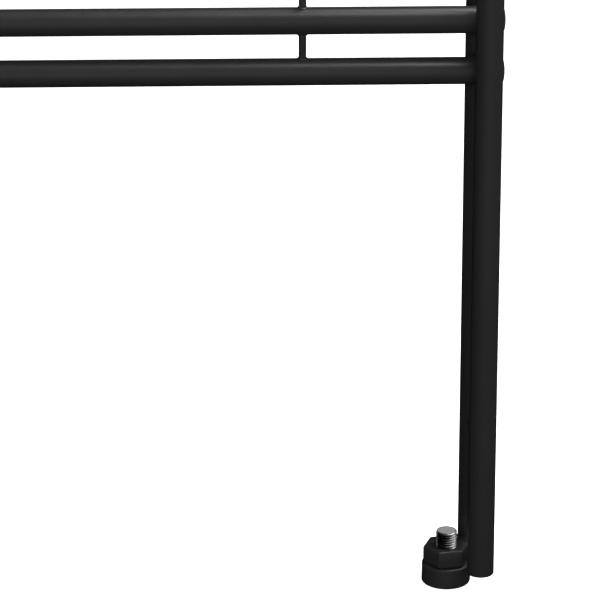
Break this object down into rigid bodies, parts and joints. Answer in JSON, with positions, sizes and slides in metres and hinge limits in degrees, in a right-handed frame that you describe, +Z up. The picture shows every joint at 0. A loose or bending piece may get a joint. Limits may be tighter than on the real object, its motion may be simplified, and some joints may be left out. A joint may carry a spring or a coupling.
{
  "type": "metal bed frame",
  "caption": "Black tubular steel bed frame with double-rail end panels, upright rods, slatted deck, centre beam and screw levelling feet.",
  "frame": {"origin": "on the floor, under the middle of the bed", "axes": "+X to the right seen from the foot end, +Y from the footboard to the headboard, +Z up"},
  "size_m": [1.5718, 2.1454, 1.128],
  "materials": {
    "powder_coat": "satin black powder coat",
    "black_bolts": "satin black",
    "zinc_steel": "zinc-plated",
    "foot_plastic": "satin moulded",
    "cap_plastic": "matte moulded"
  },
  "bodies": {
    "frame": {"post_foot_right": "powder_coat", "leg_foot_right": "powder_coat", "post_foot_left": "powder_coat", "leg_foot_left": "powder_coat", "post_head_right": "powder_coat", "leg_head_right": "powder_coat", "post_head_left": "powder_coat", "leg_head_left": "powder_coat", "foot_rail_lowest": "powder_coat", "foot_rail_lower": "powder_coat", "foot_rail_upper": "powder_coat", "foot_rail_top": "powder_coat", "foot_rods": "powder_coat", "beam_bracket_foot": "powder_coat", "head_rail_lowest": "powder_coat", "head_rail_lower": "powder_coat", "head_rail_upper": "powder_coat", "head_rail_top": "powder_coat", "head_rods": "powder_coat", "beam_bracket_head": "powder_coat", "side_rail_right": "powder_coat", "side_rail_left": "powder_coat", "beam_leg_foot": "powder_coat", "beam_leg_middle": "powder_coat", "beam_leg_head": "powder_coat", "slat_1": "powder_coat", "slat_2": "powder_coat", "slat_3": "powder_coat", "slat_4": "powder_coat", "slat_5": "powder_coat", "slat_6": "powder_coat", "slat_7": "powder_coat", "slat_8": "powder_coat", "slat_9": "powder_coat", "slat_10": "powder_coat", "slat_11": "powder_coat", "slat_12": "powder_coat", "centre_beam": "powder_coat", "foot_nuts": "powder_coat", "post_caps": "cap_plastic", "leg_caps": "cap_plastic", "end_plugs": "cap_plastic", "beam_glides": "foot_plastic", "rail_caps": "cap_plastic", "rail_inserts": "zinc_steel", "leg_bolts": "black_bolts", "leg_spacers": "powder_coat", "post_inserts": "zinc_steel", "slat_caps": "cap_plastic", "slat_screws": "zinc_steel", "bracket_bolts": "black_bolts", "beam_leg_screws": "black_bolts"},
    "disc_foot_right": {"foot_disc_foot_right": "foot_plastic"},
    "screw_foot_right": {"foot_screw_foot_right": "zinc_steel"},
    "disc_foot_left": {"foot_disc_foot_left": "foot_plastic"},
    "screw_foot_left": {"foot_screw_foot_left": "zinc_steel"},
    "disc_head_right": {"foot_disc_head_right": "foot_plastic"},
    "screw_head_right": {"foot_screw_head_right": "zinc_steel"},
    "disc_head_left": {"foot_disc_head_left": "foot_plastic"},
    "screw_head_left": {"foot_screw_head_left": "zinc_steel"}
  },
  "joints": [
    {"name": "height_foot_right", "type": "slide", "parent": "frame", "child": "disc_foot_right", "axis": [0, 0, -1], "range_m": [0, 0.01]},
    {"name": "turn_foot_right", "type": "hinge", "parent": "disc_foot_right", "child": "screw_foot_right", "pos_m": [0.73948, -1.0303, 0.03], "axis": [0, 0, -1], "range_deg": [0, 1440]},
    {"name": "height_foot_left", "type": "slide", "parent": "frame", "child": "disc_foot_left", "axis": [0, 0, -1], "range_m": [0, 0.01]},
    {"name": "turn_foot_left", "type": "hinge", "parent": "disc_foot_left", "child": "screw_foot_left", "pos_m": [-0.73948, -1.0303, 0.03], "axis": [0, 0, -1], "range_deg": [0, 1440]},
    {"name": "height_head_right", "type": "slide", "parent": "frame", "child": "disc_head_right", "axis": [0, 0, -1], "range_m": [0, 0.01]},
    {"name": "turn_head_right", "type": "hinge", "parent": "disc_head_right", "child": "screw_head_right", "pos_m": [0.73948, 1.0303, 0.03], "axis": [0, 0, -1], "range_deg": [0, 1440]},
    {"name": "height_head_left", "type": "slide", "parent": "frame", "child": "disc_head_left", "axis": [0, 0, -1], "range_m": [0, 0.01]},
    {"name": "turn_head_left", "type": "hinge", "parent": "disc_head_left", "child": "screw_head_left", "pos_m": [-0.73948, 1.0303, 0.03], "axis": [0, 0, -1], "range_deg": [0, 1440]}
  ],
  "couplings": [
    {"joint": "turn_foot_right", "follows": "height_foot_right", "rad_per_m": 2513.3},
    {"joint": "turn_foot_left", "follows": "height_foot_left", "rad_per_m": 2513.3},
    {"joint": "turn_head_right", "follows": "height_head_right", "rad_per_m": 2513.3},
    {"joint": "turn_head_left", "follows": "height_head_left", "rad_per_m": 2513.3}
  ]
}
